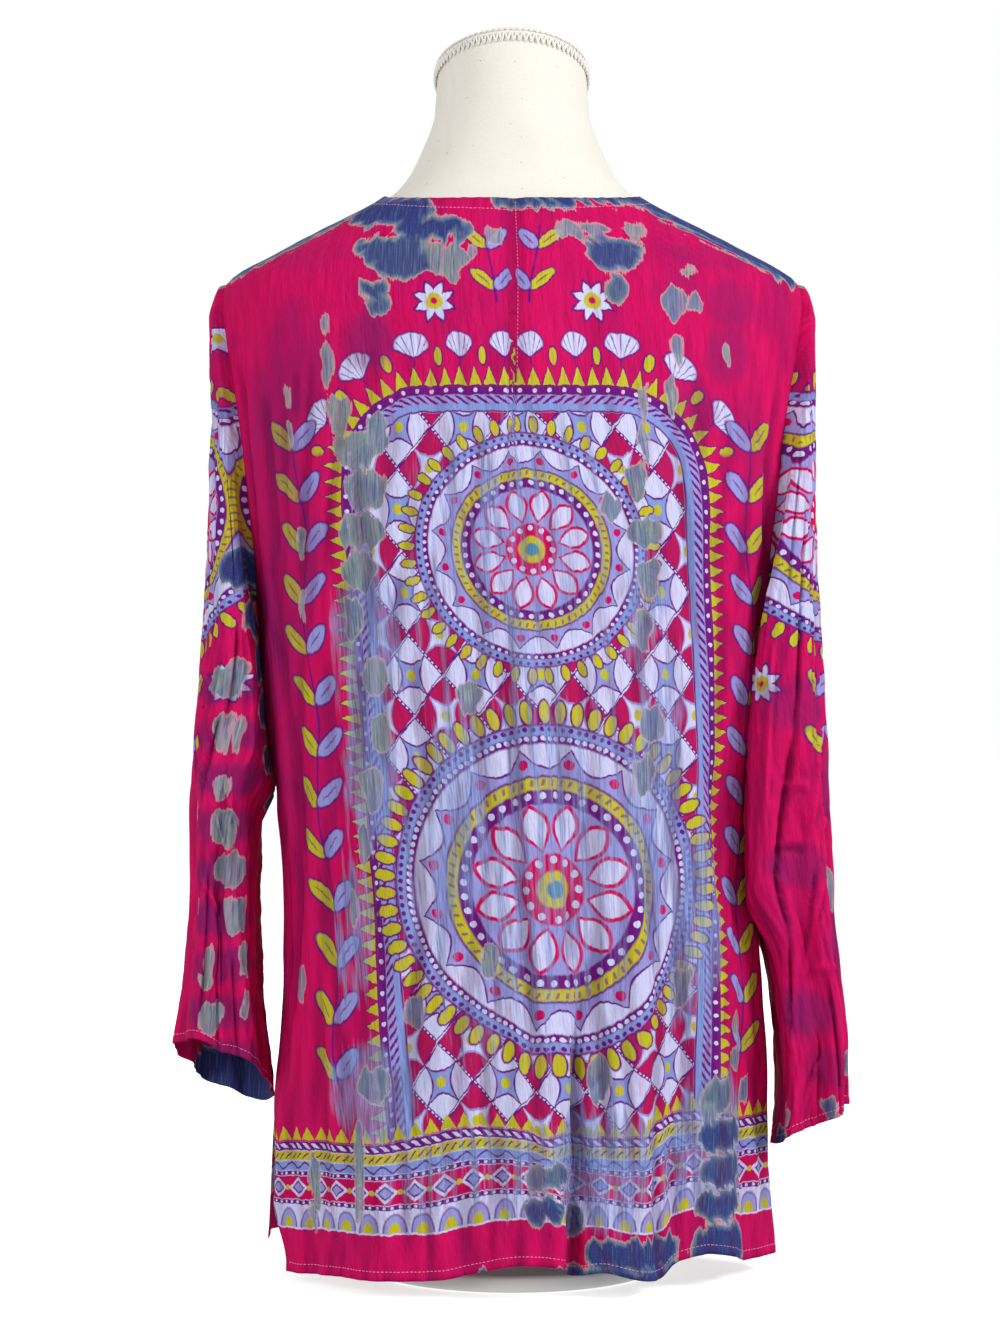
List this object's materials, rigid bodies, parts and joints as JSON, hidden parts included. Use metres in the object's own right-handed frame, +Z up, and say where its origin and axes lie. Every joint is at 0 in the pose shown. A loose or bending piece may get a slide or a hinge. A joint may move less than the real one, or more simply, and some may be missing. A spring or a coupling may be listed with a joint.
{
  "type": "long-sleeved tunic on a limbless dress form",
  "caption": "Loose pullover tunic with long set-in sleeves, wide round neck, centre-back pleat and side vents, worn on a limbless dress form with a round foot.",
  "frame": {"origin": "middle of the foot plate's underside, on the surface the form stands on", "axes": "+Z up; the garment faces -Y, so its back is at +Y; the wearer's left is at +X"},
  "size_m": [0.49, 0.294, 0.8974],
  "materials": {
    "tunic_cloth": "crinkled rayon, magenta with dyed marks and a folk print",
    "form_linen": "off-white jersey cover",
    "foot_white": "satin white"
  },
  "bodies": {
    "root": {"back_panel": "tunic_cloth", "front_panel": "tunic_cloth", "sleeve_left": "tunic_cloth", "sleeve_right": "tunic_cloth", "form_torso": "form_linen", "form_neck_cap": "form_linen", "foot_post": "foot_white", "foot_plate": "foot_white"}
  },
  "joints": []
}
